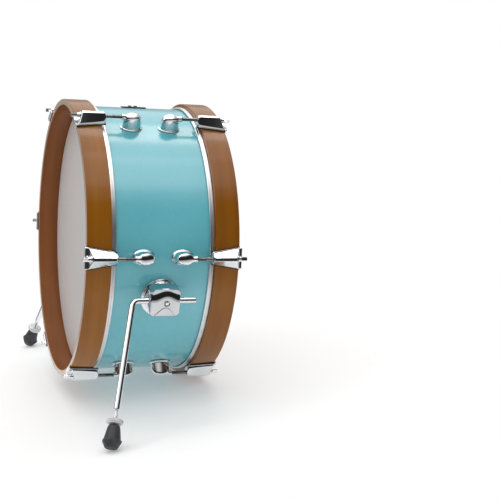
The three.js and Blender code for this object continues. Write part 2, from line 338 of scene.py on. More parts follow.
def coords(nt, scale=(1, 1, 1), polar=False):
    """Object coordinates in metres, or (arc length at the hoops' radius, y, r) round Y."""
    o = node(nt, "TexCoord", out=3)
    if polar:
        s = nt.nodes.new("ShaderNodeSeparateXYZ")
        nt.links.new(o, s.inputs[0])
        a = node(nt, "Math", {0: s.outputs[0], 1: s.outputs[2]}, operation="ARCTAN2")
        arc = node(nt, "Math", {0: a, 1: 0.239}, operation="MULTIPLY")
        flat = node(nt, "CombineXYZ", {"X": s.outputs[0], "Z": s.outputs[2]})
        r = node(nt, "VectorMath", {0: flat}, out=1, operation="LENGTH")
        o = node(nt, "CombineXYZ", {"X": arc, "Y": s.outputs[1], "Z": r})
    return node(nt, "Mapping", {"Vector": o, "Scale": scale})


def noise(nt, vec, scale, detail=3.0, rough=0.5, distortion=0.0, out=0):
    return node(nt, "TexNoise", {"Vector": vec, "Scale": scale, "Detail": detail, "Roughness": rough,
                                 "Distortion": distortion}, out=out)


def bump(nt, height, distance_m, strength=1.0, under=None):
    ins = {"Height": height, "Distance": distance_m, "Strength": strength}
    if under is not None:
        ins["Normal"] = under
    return node(nt, "Bump", ins)


def surface(mat, nt, **inputs):
    p = nt.nodes.new("ShaderNodeBsdfPrincipled")
    for k, v in inputs.items():
        s = p.inputs[k.replace("_", " ")]
        if isinstance(v, bpy.types.NodeSocket):
            nt.links.new(v, s)
        else:
            s.default_value = tone(v) if s.type == "RGBA" else v
    o = nt.nodes.new("ShaderNodeOutputMaterial")
    nt.links.new(p.outputs[0], o.inputs[0])
    return mat


def make_lacquer():
    mat, nt = new_material("lacquer")
    c = coords(nt)
    cloud = noise(nt, c, 9.0, 2.0)
    fleck = noise(nt, c, 900.0, 2.0)
    col = mix(nt, spread(nt, cloud, 0.0, 1.0, 0.35, 0.65), srgb(89, 175, 187), srgb(96, 181, 193))
    col = mix(nt, spread(nt, fleck, 0.0, 0.10, 0.45, 0.7), col, srgb(150, 208, 214))
    peel = noise(nt, c, 260.0, 2.0)
    haze = noise(nt, c, 30.0, 4.0, 0.6)
    return surface(mat, nt, Base_Color=col, Roughness=spread(nt, haze, 0.22, 0.34, 0.35, 0.65), Specular_IOR_Level=0.12,
                   Coat_Weight=1.0, Coat_Roughness=0.19, Coat_IOR=1.85,
                   Normal=bump(nt, peel, 0.00002, 0.5), Coat_Normal=bump(nt, peel, 0.00002, 0.35))


def make_wood(name, dark, mid, pale, gloss=0.30, coat=0.6):
    mat, nt = new_material(name)
    c = coords(nt, polar=True)
    long = node(nt, "Mapping", {"Vector": c, "Scale": (2.2, 34.0, 34.0)})
    fine = node(nt, "Mapping", {"Vector": c, "Scale": (9.0, 420.0, 380.0)})
    band = noise(nt, long, 1.0, 3.0, 0.5, 0.3)
    fibre = noise(nt, fine, 1.0, 4.0, 0.6)
    blotch = noise(nt, c, 5.0, 2.0)
    col = ramp(nt, band, [(0.32, dark), (0.5, mid), (0.70, pale)], "EASE")
    col = mix(nt, spread(nt, fibre, 0.0, 0.22, 0.50, 0.74), col, dark)
    col = mix(nt, spread(nt, blotch, 0.0, 0.3, 0.4, 0.65), col, pale)
    pores = ramp(nt, fibre, [(0.36, 0.0), (0.5, 1.0)])
    return surface(mat, nt, Base_Color=col, Roughness=spread(nt, fibre, gloss - 0.05, gloss + 0.07, 0.35, 0.65), Specular_IOR_Level=0.08,
                   Coat_Weight=coat, Coat_Roughness=0.15,
                   Normal=bump(nt, pores, 0.00003, 0.4))


def make_shell_wood():
    mat, nt = new_material("bare_wood")
    c = coords(nt, polar=True)
    fine = node(nt, "Mapping", {"Vector": c, "Scale": (10.0, 380.0, 900.0)})
    fibre = noise(nt, fine, 1.0, 5.0, 0.6)
    col = ramp(nt, fibre, [(0.3, srgb(176, 133, 88)), (0.55, srgb(214, 176, 128)), (0.75, srgb(228, 196, 152))])
    return surface(mat, nt, Base_Color=col, Roughness=spread(nt, fibre, 0.45, 0.65, 0.3, 0.7),
                   Normal=bump(nt, fibre, 0.00008, 0.6))


def make_metal(name, base, tint, low, high, scale=40.0, grain=(1, 1, 1), depth_m=0.0, polar=False, fine=400.0, metallic=1.0):
    """Bright metal: faint tint drift, smudges in the roughness, and a directional grain."""
    mat, nt = new_material(name)
    c = coords(nt, polar=polar)
    smudge = noise(nt, c, scale, 4.0, 0.6, 0.6)
    g = noise(nt, node(nt, "Mapping", {"Vector": c, "Scale": grain}), fine, 3.0)
    col = mix(nt, spread(nt, smudge, 0.0, 1.0, 0.35, 0.7), base, tint)
    rough = node(nt, "Math", {0: spread(nt, smudge, low, high, 0.35, 0.7),
                              1: spread(nt, g, -0.25 * (high - low), 0.25 * (high - low), 0.3, 0.7)}, operation="ADD")
    ins = dict(Base_Color=col, Metallic=metallic, Roughness=rough)
    if depth_m:
        ins["Normal"] = bump(nt, g, depth_m, 0.6)
    return surface(mat, nt, **ins)


def make_film(name, base, pale, rough):
    mat, nt = new_material(name)
    c = coords(nt)
    cloud = noise(nt, c, 5.0, 2.0)
    grit = noise(nt, c, 2600.0, 2.0)
    col = mix(nt, spread(nt, cloud, 0.2, 0.8, 0.3, 0.7), base, pale)
    return surface(mat, nt, Base_Color=col, Roughness=spread(nt, grit, rough - 0.06, rough + 0.08, 0.3, 0.7),
                   Specular_IOR_Level=0.5, Normal=bump(nt, grit, 0.00002, 0.4))


def make_plastic(name, base, worn, low, high, scale=900.0, depth_m=0.00004):
    mat, nt = new_material(name)
    c = coords(nt)
    grit = noise(nt, c, scale, 3.0, 0.6)
    scuff = noise(nt, c, 70.0, 4.0, 0.65, 0.8)
    col = mix(nt, spread(nt, scuff, 0.0, 1.0, 0.45, 0.75), base, worn)
    return surface(mat, nt, Base_Color=col, Roughness=spread(nt, scuff, low, high, 0.35, 0.7),
                   Normal=bump(nt, grit, depth_m, 0.6))


LACQUER = make_lacquer()
WOOD = make_wood("hoop_wood", srgb(116, 67, 1), srgb(129, 76, 2), srgb(142, 87, 5), 0.36, 0.7)
WOOD_IN = make_wood("hoop_wood_inside", srgb(112, 64, 31), srgb(127, 75, 38), srgb(142, 87, 47), 0.36, 0.3)
# pale wood for the hoops' rim face: a painted highlight for the light its edge catches
WOOD_RIM_HIGHLIGHT = make_wood("hoop_wood_rim_painted_highlight", srgb(158, 131, 108), srgb(170, 143, 119), srgb(182, 156, 132), 0.30, 0.8)
BARE = make_shell_wood()
CHROME = make_metal("chrome", (0.86, 0.87, 0.885), (0.80, 0.815, 0.84), 0.035, 0.085)
ALUMINIUM = make_metal("aluminium", (0.90, 0.905, 0.91), (0.80, 0.81, 0.82), 0.34, 0.46, 12.0, (0.02, 1.0, 1.0), 0.00002, True, 2200.0)
CAST = make_metal("cast_chrome", (0.68, 0.685, 0.70), (0.62, 0.63, 0.65), 0.04, 0.10)
STEEL = make_metal("rod_steel", (0.30, 0.27, 0.265), (0.22, 0.20, 0.195), 0.18, 0.32, 60.0)
NUT_STEEL = make_metal("nut_steel", (0.70, 0.70, 0.705), (0.58, 0.58, 0.585), 0.42, 0.56, 90.0, (1, 1, 1), 0.00002, False, 1500.0, 0.55)
DARK_STEEL = make_metal("dark_steel", (0.12, 0.125, 0.13), (0.08, 0.085, 0.09), 0.28, 0.42, 90.0)
# the front film is a darker grey than the rear film: painted shade for the partial shade on the front head
SHADED_FILM = make_film("front_film", srgb(194, 191, 190), srgb(199, 196, 195), 0.30)
FILM_REAR = make_film("rear_film", srgb(220, 219, 215), srgb(226, 225, 222), 0.55)
RUBBER = make_plastic("rubber", srgb(46, 46, 49), srgb(66, 66, 69), 0.42, 0.62)
# near-black rubber for the claw pads; where a pad shows past its claw it is painted shade
GASKET_AND_SHADE = make_plastic("gasket_rubber_and_shade", srgb(20, 20, 22), srgb(32, 32, 34), 0.5, 0.7)
NYLON = make_plastic("bushing_nylon", srgb(150, 150, 158), srgb(172, 172, 178), 0.3, 0.42, 600.0, 0.00002)

# ---------------------------------------------------------- shell, hoops, heads
v, f = lathe(fillet([(228.6, -83.5, 1.2), (228.6, 83.5, 1.2), (224.6, 87.5, 0.0), (223.6, 88.4, 0.5), (222.4, 87.8, 0.0),
                     (221.1, 86.2, 1.0), (221.1, -86.2, 1.0), (222.4, -87.8, 0.0), (223.6, -88.4, 0.5), (224.6, -87.5, 0.0)], 4), 288)
rr = np.hypot(v[:, 0], v[:, 2])
lacquered = [0 if np.mean(rr[list(q)]) > 228.3 else 1 for q in f]
add("shell_body", v, f, [LACQUER, BARE], "drum", ["shell"], slots=lacquered)

for end in ("front", "rear"):
    face = about(0, end == "front")
    body = end + "_hoop_set"
    outline = fillet([(231.2, 84.4, 0.6), (237.9, 84.4, 1.2), (238.9, 85.4, 0.8), (238.9, 123.0, 1.0), (237.7, 124.3, 0.9),
                      (229.5, 124.3, 0.9), (228.4, 123.1, 0.9), (228.4, 87.2, 1.2)], 4)
    v, f = lathe(outline, 288)
    rr = np.hypot(v[:, 0], v[:, 2])
    # slot 2, the rim face, takes the pale painted-highlight wood; slot 1 is the inner wall
    inner = [2 if np.mean(v[list(q), 1]) > 123.75 else 1 if np.mean(rr[list(q)]) < 229.4 else 0 for q in f]
    add(end + "_hoop_ring", v, f, [WOOD, WOOD_IN, WOOD_RIM_HIGHLIGHT], body, [end + "_hoop"], face, slots=inner)
    # folded aluminium channel that holds the film, with its rolled groove
    channel = fillet([(230.0, 76.5, 0.2), (231.9, 76.3, 0.6), (232.7, 77.0, 0.6), (232.7, 79.6, 0.2), (232.3, 80.0, 0.2),
                      (232.3, 80.5, 0.2), (232.7, 80.9, 0.2), (232.7, 83.4, 0.5), (232.0, 84.1, 0.4), (230.0, 84.1, 0.2)], 2)
    v, f = lathe(channel, 288)
    add(end + "_flesh_ring", v, f, ALUMINIUM, body, [end + "_flesh_hoop"], face)
    film = [(0, 90.6), (60, 90.6), (120, 90.6), (180, 90.6), (205, 90.6), (218, 90.58), (221.2, 90.5), (222.6, 90.15),
            (223.6, 89.5), (224.6, 88.5), (228.7, 84.4), (229.3, 83.4), (229.5, 81.5), (229.5, 78.1),
            (229.05, 78.1), (229.05, 81.5), (228.8, 83.2), (228.3, 84.1), (224.2, 88.2), (223.3, 89.05), (222.4, 89.6),
            (221.1, 89.95), (218, 90.0), (205, 90.02), (180, 90.02), (120, 90.02), (60, 90.02), (0, 90.02)]
    v, f = lathe(film, 288)
    add(end + "_film", v, f, SHADED_FILM if end == "front" else FILM_REAR, body, [end + "_head"], face)


# ------------------------------------------------------------ claws, lugs, rods
def claw_shape(p):
    """Tapered ridge with a crisp apex; its wide end slopes back over a flat shelf."""
    x, y, z = np.abs(p[:, 0]), p[:, 1], p[:, 2]
    ca, sa = math.cos(rad(9.46)), math.sin(rad(9.46))
    side = smax((x - 9.6) * ca - (y - 79.5) * sa, x - 17.0, 1.0)
    w = np.interp(y, [79.5, 123.9], [9.6, 17.0]) - 1.9
    slope = (x * 12.9 + z * w - (2.5 * 12.9 + 256.4 * w)) / np.hypot(12.9, w)
    roof = smax(slope, z - 256.3, 0.3)
    end = ((y - 122.2) * 13.8 + (z - 242.6) * 6.2) / 15.13
    narrow = smax(77.0 - y, ((77.0 - y) * 3.4 + (z - 253.0) * 3.0) / 4.53, 2.0)
    plan = smax(smax(side, narrow, 5.0), end, 0.8)
    d = smax(smax(plan, roof, 1.0), 240.3 - z, 0.4)
    shelf = smax(smax(smax(side, narrow, 5.0), y - 127.3, 1.4), z - 242.4, 0.8)
    d = smin(d, smax(shelf, 240.3 - z, 0.4), 1.3)
    lip = smax(smax(smax(smax(side - 0.8, narrow - 0.5, 5.0), y - 127.4, 0.8), z - 241.3, 0.7), 240.3 - z, 0.4)
    d = smin(d, lip, 0.5)
    hook = smax(smax(x - 16.4, np.maximum(124.9 - y, y - 127.2), 0.8), np.maximum(234.8 - z, z - 242.0), 0.8)
    d = smin(d, hook, 0.6)
    r = np.hypot(x, z - 249.0)
    bore = smax(r - np.where(y > 116.9, np.interp(y, [116.9, 119.5, 122.5], [6.15, 6.2, 6.6]), 3.9), 60.0 - y, 0.3)
    return smax(d, -bore, 0.35)


def lug_shape(p):
    """Domed oval post on an oval foot, with a short round ferrule for the rod."""
    x, y, z = np.abs(p[:, 0]), p[:, 1], p[:, 2]
    r = np.hypot(x, z)
    up = np.maximum(z - 240.0, 0.0) / 16.0
    cap = (np.sqrt((x / 15.5) ** 2 + ((y - 32.0) / 17.0) ** 2 + up ** 2) - 1.0) * 15.5
    w = np.interp(z, [229.0, 256.0], [10.9, 9.2])
    wall = (np.sqrt((x / w) ** 2 + ((y - 31.8) / (w * 1.53)) ** 2) - 1.0) * 11.5
    bulb = smax(cap, wall, 2.2)
    q = np.sqrt((x / 12.6) ** 2 + ((y - 31.8) / 18.4) ** 2)
    foot = smax(smax((q - 1.0) * 13.0, r - 230.9, 1.0), 229.0 - r, 0.2)
    ferrule = smax(np.hypot(x, z - 249.0) - np.where(y > 48.4, 5.3, 4.7), np.maximum(34.0 - y, y - 50.5), 0.7)
    d = smin(smin(bulb, foot, 2.4), ferrule, 1.6)
    d = np.maximum(d, 229.0 - r)
    return smax(d, -np.maximum(np.hypot(x, z - 249.0) - 3.6, 28.0 - y), 0.5)


def shared(name, shape, lo, hi, step, mat):
    v, f, n = skin(shape, lo, hi, step)
    mesh = bpy.data.meshes.new(name)
    mesh.from_pydata((v * 0.001).tolist(), [], f.tolist())
    mesh.materials.append(mat)
    mesh.polygons.foreach_set("use_smooth", np.ones(len(mesh.polygons), bool))
    mesh.normals_split_custom_set_from_vertices(n.tolist())
    mesh.update()
    return mesh


claw_mesh = shared("claw", claw_shape, (-19, 75, 233), (19, 129, 258), 0.5, CHROME)
lug_mesh = shared("lug", lug_shape, (-15, 9, 227), (15, 55, 257), 0.55, CHROME)


def gasket_mesh():
    """Rubber pad between claw and hoop, with an apron down the hoop's rim. It reaches past the claw's sides, so its
    black edge is partly painted shade for the dark line under the claw.
    """
    rows = []
    ys = [76.6, 77.2, 79.5, 90, 100, 110, 120, 124.4]
    out = []
    for y in ys:
        # the pad is wider than the claw so a black edge shows beside it: painted shade
        w = min(11.3 + max(y - 79.5, 0) * 0.1667, 18.5) - (1.6 if y < 77 else 0.5 if y < 79 else 0)
        xs = np.linspace(-w, w, 13)
        out.append((y, xs))
    verts, faces = [], []
    n = 13
    for y, xs in out:                       # top surface, then the underside on the hoop
        verts += [(x, y, 240.32) for x in xs]
    base = len(verts)
    for y, xs in out:
        verts += [(x, y, math.sqrt(239.1 ** 2 - x * x)) for x in xs]
    rows = len(out)
    for i in range(rows - 1):
        for j in range(n - 1):
            a = i * n + j
            faces.append([a, a + 1, a + n + 1, a + n])
            b = base + a
            faces.append([b, b + n, b + n + 1, b + 1])
    for j in range(n - 1):
        for i in (0, rows - 1):
            a = i * n + j
            faces.append([a, a + 1, base + a + 1, base + a])
    for i in range(rows - 1):
        for j in (0, n - 1):
            a = i * n + j
            faces.append([a, a + n, base + a + n, base + a])
    # apron
    ring = lambda y: [(-17.3, y, 240.2), (17.3, y, 240.2), (17.3, y, 235.0), (16.6, y, 234.2), (-16.6, y, 234.2), (-17.3, y, 235.0)]
    v2, f2 = stack([ring(124.42), ring(124.86)])
    k = len(verts)
    verts = np.vstack([np.array(verts), v2])
    faces += [[q + k for q in g] for g in f2]
    return verts, faces


gv, gf = gasket_mesh()


def thread(r, depth, pitch, y0, y1, seg=20, per=6, fade=1.5):
    """Rings of a single-start thread along +Y, running out smoothly at both ends."""
    rings = []
    count = max(2, int((y1 - y0) / pitch * per))
    for i in range(count + 1):
        y = y0 + (y1 - y0) * i / count
        k = min(1.0, (y - y0) / fade, (y1 - y) / fade)
        ring = []
        for j in range(seg):
            a = 2 * math.pi * j / seg
            ph = ((y / pitch) - j / seg) % 1.0
            w = 1 - abs(2 * ph - 1)
            rr = r - depth * max(k, 0) * (1 - w)
            ring.append((rr * math.sin(a), y, rr * math.cos(a)))
        rings.append(ring)
    return rings


def circle(r, y, seg=20):
    return [(r * math.sin(2 * math.pi * j / seg), y, r * math.cos(2 * math.pi * j / seg)) for j in range(seg)]


def square_ring(h, y, seg=24, corner=0.9):
    """A square with rounded corners, flats across X and Z, starting at +Z like circle()."""
    pts = fillet([(-h, -h, corner), (h, -h, corner), (h, h, corner), (-h, h, corner)], 5)
    ang = np.array([math.atan2(px, pz) % (2 * math.pi) for px, pz in pts])
    order = np.argsort(ang)
    ang, rr = ang[order], np.array([math.hypot(*pts[i]) for i in order])
    out = []
    for j in range(seg):
        a = 2 * math.pi * j / seg
        # along each side the radius is exact; across a corner it follows the arc
        m = max(abs(math.sin(a)), abs(math.cos(a)))
        side = h / m
        lim = np.interp(a % (2 * math.pi), np.r_[ang - 2 * math.pi, ang, ang + 2 * math.pi], np.r_[rr, rr, rr])
        k = min(side, lim)
        out.append((k * math.sin(a), y, k * math.cos(a)))
    return out


def key_rod():
    S = 24
    rings = [circle(1.6, 30.2, S), circle(2.3, 30.6, S)]
    rings += thread(3.0, 0.45, 0.95, 31.0, 66.0, S, 7)
    rings += [circle(2.95, y, S) for y in (67, 80, 95, 110, 116.2)]
    rings += [circle(3.2, 116.9, S), circle(5.1, 117.4, S), circle(5.6, 117.55, S), circle(5.85, 117.9, S), circle(5.85, 119.0, S),
              circle(5.7, 119.35, S), circle(5.3, 119.6, S), circle(4.6, 119.75, S), circle(4.3, 120.1, S), circle(4.2, 120.6, S),
              circle(4.2, 122.8, S), circle(4.05, 123.5, S), circle(3.7, 123.9, S)]
    rings += [square_ring(h, y, S, c) for h, y, c in ((2.7, 124.1, 0.5), (2.88, 124.5, 0.5), (2.9, 125.0, 0.5), (2.9, 132.3, 0.5),
                                                      (2.8, 132.9, 0.6), (2.5, 133.25, 0.7))]
    rings += [circle(2.1, 133.4, S)]
    return stack(rings)


kv, kf = key_rod()
plated = [1 if np.mean(np.asarray(kv)[list(q), 1]) > 116.0 else 0 for q in kf]
rod_mesh = None
TURNS = (24, -16, 31, -9, 16, -27)           # how far each key rod happens to have been turned
for end in ("front", "rear"):
    for i, angle in enumerate(ANGLES, 1):
        at = about(angle, end == "front")
        place(f"{end}_claw_hook_{i}", claw_mesh, end + "_hoop_set", [f"{end}_claw_{i}"], at)
        place(f"{end}_lug_casting_{i}", lug_mesh, "drum", [f"{end}_lug_{i}"], at)
        add(f"{end}_claw_gasket_and_shade_{i}", gv, gf, GASKET_AND_SHADE, end + "_hoop_set", (), at, sharp=40)
        rod_at = at @ Matrix.Translation((0, 0, 249.0)) @ Matrix.Rotation(rad(TURNS[i - 1]), 4, "Y")
        if rod_mesh is None:
            o = add(f"{end}_tension_rod_{i}", kv, kf, [STEEL, CHROME], f"{end}_key_rod_{i}", [f"{end}_key_rod_{i}"], rod_at, slots=plated, sharp=32)
            rod_mesh = o.data
        else:
            place(f"{end}_tension_rod_{i}", rod_mesh, f"{end}_key_rod_{i}", [f"{end}_key_rod_{i}"], rod_at, True)

# --------------------------------------------------------------- holder plate
def plate_shape(p):
    x, y, z = np.abs(p[:, 0]), np.abs(p[:, 1] + 2.0), p[:, 2]
    r = np.hypot(x, z)
    qx, qy = x - 6.0, y - 16.0
    d = np.hypot(np.maximum(qx, 0), np.maximum(qy, 0)) + np.minimum(np.maximum(qx, qy), 0) - 5.0
    return smax(smax(d, z - 230.5, 0.7), 228.7 - r, 0.1)


v, f, n = skin(plate_shape, (-12, -24, 227), (12, 20, 232), 0.5)
add("holder_base", v, f, DARK_STEEL, "drum", ["holder_plate"], normals=n)
for i, y in enumerate((-8.5, 1.3), 1):
    prof = [(0, 230.7), (3.1, 230.7), (3.4, 231.0), (3.4, 231.5), (3.1, 231.95), (2.4, 232.3), (1.6, 232.48), (1.55, 232.1), (1.45, 231.6), (0, 231.5)]
    v, f = lathe(prof, 36)
    v = np.stack([v[:, 0], v[:, 2] + y, v[:, 1]], 1)
    add(f"holder_screw_head_{i}", v, f, DARK_STEEL, "drum", [f"holder_plate_screw_{i}"])


# ---------------------------------------------------------------------- spurs
def base_shape(side):
    def shape(p):
        x, y, z = p[:, 0], p[:, 1], p[:, 2]
        cyl = np.hypot(x, z)
        r1 = np.hypot(x - 8.2 * side, y)
        r2 = np.hypot(x - 8.2 * 0.85 * side, y)
        r3 = np.hypot(x - 8.2 * 0.35 * side, y)
        a = smax(r1 - 32.6, z - (234.6 - 0.0011 * r1 ** 2), 1.1)
        b = smax(r2 - 27.2, z - (239.2 - 0.0017 * r2 ** 2), 1.3)
        c = smax(r3 - 21.4, z - 242.9, 1.2)
        d = smin(smin(a, b, 1.6), c, 2.0)
        return smax(d, 228.75 - cyl, 0.15)
    return shape


def slab(u, v, hu, hv, r):
    """Distance to a rounded rectangle."""
    qu, qv = np.abs(u) - (hu - r), np.abs(v) - (hv - r)
    return np.hypot(np.maximum(qu, 0), np.maximum(qv, 0)) + np.minimum(np.maximum(qu, qv), 0) - r


def block_shape(side):
    """Clamp block: flat lower face with an arch line, upper face rolled back in a shallow wave, wider cap over a body."""
    pts = np.array([(21.6, -20.0), (17.0, -15.4), (12.0, -10.6), (9.2, -7.2), (7.4, -3.6), (7.0, 0.2), (8.2, 3.8), (11.2, 7.2),
                    (16.0, 11.0), (21.6, 15.2)])

    def shape(p):
        x, y, z = p[:, 0] * side, p[:, 1], p[:, 2]        # +x is down
        body = smax(smax(slab(x, y + 1.3, 22.0, 22.7, 7.2), z - 268.0, 0.5), 243.2 - z, 1.0)
        start = -4.0 - 3.2 * np.cos((y + 1.0) / 7.5)
        roll = np.maximum(start - x, 0.0)
        crown = (z - 272.0 + roll ** 2 / 36.0 - 0.25 * np.sin(np.clip(roll, 0, 12) / 12 * math.pi) * np.cos(y / 5.0)) / np.sqrt(1 + (roll / 18.0) ** 2)
        cap = smax(smax(slab(x + 0.85, y + 2.5, 23.1, 24.1, 7.6), crown, 2.6), 264.5 - z, 0.8)
        d = smin(body, cap, 0.8)
        ring = np.hypot(p[:, 0], z - 260.0)
        d = smax(d, -(ring - 7.9), 0.5)
        d = smax(d, -np.maximum(ring - 9.95, y + 24.4), 0.5)
        hole = np.hypot(p[:, 0], y)
        d = smax(d, -smax(hole - 4.8, 269.3 - z, 0.3), 0.7)
        d = smax(d, -np.maximum(hole - 3.5, 262.0 - z), 0.2)
        best = np.full(len(x), 1e9)
        near = (z > 270.0) & (x > 4)
        if near.any():
            q = np.stack([x[near], y[near]], 1)
            bb = np.full(len(q), 1e9)
            for a, b in zip(pts[:-1], pts[1:]):
                ab = b - a
                t = np.clip(((q - a) @ ab) / (ab @ ab), 0, 1)
                bb = np.minimum(bb, np.linalg.norm(q - a - t[:, None] * ab, axis=1))
            best[near] = bb
        groove = np.maximum(best - 0.6, 271.1 - z)
        return smax(d, -groove, 0.25)
    return shape


def sweep(path, tangent, radius, seg=32):
    """Round section carried along a path in the YZ plane, whose normal is X."""
    rings = []
    for p, t, r in zip(path, tangent, radius):
        p, t = np.array(p, float), np.array(t, float)
        u = np.array([1.0, 0, 0])
        w = np.cross(u, t)
        rings.append([p + r * (math.cos(2 * math.pi * j / seg) * u + math.sin(2 * math.pi * j / seg) * w) for j in range(seg)])
    return rings


def leg_frame():
    """Turns +Y onto the leg's direction (0, -cos, -sin)."""
    d = Vector((0, -math.cos(BEND), -math.sin(BEND)))
    return Vector((0, 1, 0)).rotation_difference(d).to_matrix().to_4x4()


def spur_rod():
    S = 32
    R = 4.9
    back = BEND_R * math.tan(BEND / 2)
    path, tan, rr = [], [], []
    for y, r in ((STUB, 3.6), (STUB - 0.25, 4.2), (STUB - 0.8, 4.75), (STUB - 1.6, R), (STUB - 8, R), (60, R), (30, R), (back + 4, R)):
        path.append((0, y, 0)); tan.append((0, -1, 0)); rr.append(r)
    n = 20
    for i in range(n + 1):
        a = BEND * i / n
        path.append((0, back - BEND_R * math.sin(a), -BEND_R + BEND_R * math.cos(a)))
        tan.append((0, -math.cos(a), -math.sin(a))); rr.append(R)
    d = np.array((0, -math.cos(BEND), -math.sin(BEND)))
    for s, r in ((back + 4, R), (70, R), (120, R), (LEG - 61.2, R), (LEG - 60.2, R), (LEG - 59.5, 4.75), (LEG - 59.0, 4.35), (LEG - 58.6, 3.75)):
        path.append(tuple(d * s)); tan.append(tuple(d)); rr.append(r)
    rings = sweep(path, tan, rr, S)
    q = leg_frame()
    spin = np.array(q.to_3x3())
    flip = []
    for ring in thread(3.7, 0.5, 1.25, LEG - 58.0, LEG - 14.6, S, 7, 1.2):
        flip.append((spin @ np.array(ring).T).T)
    # match the two ring directions and start corners
    last = np.array(rings[-1])
    first = flip[0]
    order = None
    best = 1e18
    for sgn in (1, -1):
        for k in range(S):
            idx = (np.arange(S) * sgn + k) % S
            e = ((first[idx] - last) ** 2).sum()
            if e < best:
                best, order = e, idx
    flip = [r[order] for r in flip]
    tip = []
    for s, r in ((LEG - 14.2, 2.9), (LEG - 14.0, 2.2)):
        c = d * s
        base = flip[-1] - flip[-1].mean(0)
        tip.append(c + base / np.linalg.norm(base, axis=1)[:, None] * r)
    return stack(rings + flip + tip)


def knurl(teeth, depth, rows):
    def f(i, r, a):
        return r - (depth * (0.5 - 0.5 * math.cos(a * teeth)) if i in rows else 0)
    return f


def lock_nut():
    L = LEG
    prof = [(4.0, L - 44.8), (6.4, L - 44.8), (6.9, L - 44.5), (10.6, L - 44.5), (11.6, L - 44.2), (12.4, L - 43.4), (12.9, L - 42.9), (12.9, L - 41.0), (12.9, L - 39.3),
            (12.4, L - 38.7), (11.6, L - 37.8), (10.6, L - 37.4), (6.4, L - 37.2), (4.0, L - 37.2)]
    return lathe(prof, 240, knurl(40, 0.75, {6, 7, 8}))


def foot():
    """Rubber foot: cone, a step under it, a flared rim with eight flats, and a chamfered sole."""
    L = LEG
    prof = fillet([(4.05, L - 5.4, 0.0), (4.05, L - 35.8, 0.5), (8.2, L - 35.8, 1.6), (9.9, L - 31.0, 6.0), (12.7, L - 15.6, 0.5), (12.9, L - 14.2, 0.3),
                   (14.9, L - 12.6, 0.5), (15.1, L - 10.4, 0.7), (9.8, L - 1.0, 0.8), (8.2, L, 0.6), (0, L, 0.0), (0, L - 1, 0), (0, L - 5.3, 0)], 4)
    prof = [(r, y) for r, y in prof]

    def flats(i, r, a):
        y = prof[i][1]
        k = math.exp(-((y - (L - 11.5)) / 2.6) ** 2)
        m = (a + math.pi / 8) % (math.pi / 4) - math.pi / 8
        poly = math.cos(math.pi / 8) / math.cos(m)
        return r * (1 - k * 0.75 * (1 - poly)) if r > 9 else r
    return lathe(prof, 160, flats)


for name, (side, corner, swing) in SPURS.items():
    at = about(SPUR_ANGLE * side)
    v, f, n = skin(base_shape(side), (8.2 * side - 35, -35, 221), (8.2 * side + 35, 35, 245), 0.6)
    add(name + "_spur_flange", v, f, CHROME, "drum", [name + "_spur_base"], at, normals=n)
    v, f, n = skin(block_shape(side), (-26, -28.5, 241), (26, 23.5, 274), 0.42)
    add(name + "_spur_clamp", v, f, CAST, "drum", [name + "_spur_block"], at, normals=n)
    # square-headed clamp screw, down in its counterbore
    S = 24
    rings = [circle(3.0, 267.95, S), circle(3.05, 269.2, S), circle(2.9, 269.5, S), square_ring(2.3, 269.6, S, 0.5), square_ring(2.5, 269.9, S, 0.5),
             square_ring(2.5, 272.0, S, 0.5), square_ring(2.35, 272.4, S, 0.6), circle(1.9, 272.6, S)]
    v, f = stack(rings)
    v = np.stack([v[:, 0], v[:, 2], v[:, 1]], 1)
    add(name + "_spur_clamp_screw", v, f, CHROME, name + "_spur_key_screw", [name + "_spur_key_screw"], at, sharp=32)
    theta = rad(SPUR_ANGLE * side)
    seat = Matrix.Translation((SPUR_R * math.sin(theta), 0, SPUR_R * math.cos(theta)))
    prof = fillet([(5.15, -26.9, 0.4), (8.9, -26.9, 0.8), (9.6, -26.2, 0.5), (9.6, -24.6, 0.3), (7.45, -24.5, 0.1), (7.45, 21.3, 0.3), (7.1, 21.6, 0.1), (5.15, 21.6, 0.2)], 3)
    v, f = lathe(prof, 64)
    add(name + "_spur_sleeve", v, f, NYLON, name + "_spur_bushing", [name + "_spur_bushing"], seat)
    leg = Matrix.Translation((SPUR_R * math.sin(theta), corner, SPUR_R * math.cos(theta))) @ Matrix.Rotation(-rad(swing) * side, 4, "Y")
    v, f = spur_rod()
    add(name + "_spur_leg", v, f, CHROME, name + "_spur_rod", [name + "_spur_rod"], leg, sharp=40)
    along = leg @ leg_frame()
    v, f = lock_nut()
    add(name + "_spur_knurled_nut", v, f, NUT_STEEL, name + "_spur_lock_nut", [name + "_spur_lock_nut"], along, sharp=50)
    v, f = foot()
    add(name + "_spur_rubber_foot", v, f, RUBBER, name + "_spur_foot", [name + "_spur_foot"], along, sharp=40)

# ------------------------------------------------------------- floor and light
floor_mesh = bpy.data.meshes.new("floor")
ring = [(0, 0, 0)]
faces = []
SEGS = 96
for k, r in enumerate((0.6, 1.2, 2.4, 5.0)):
    for j in range(SEGS):
        a = 2 * math.pi * j / SEGS
        ring.append((r * math.cos(a), r * math.sin(a), 0))
for j in range(SEGS):
    faces.append([0, 1 + j, 1 + (j + 1) % SEGS])
for k in range(3):
    a, b = 1 + k * SEGS, 1 + (k + 1) * SEGS
    for j in range(SEGS):
        l = (j + 1) % SEGS
        faces.append([a + j, b + j, b + l, a + l])
floor_mesh.from_pydata(ring, [], faces)
floor = bpy.data.objects.new("floor", floor_mesh)
floor.location = (0, 0, -0.0006)
bpy.context.scene.collection.objects.link(floor)
mat, nt = new_material("floor_paint")
o = node(nt, "TexCoord", out=3)
dist = node(nt, "VectorMath", {0: o}, out=1, operation="LENGTH")
grain = noise(nt, o, 60.0, 3.0)
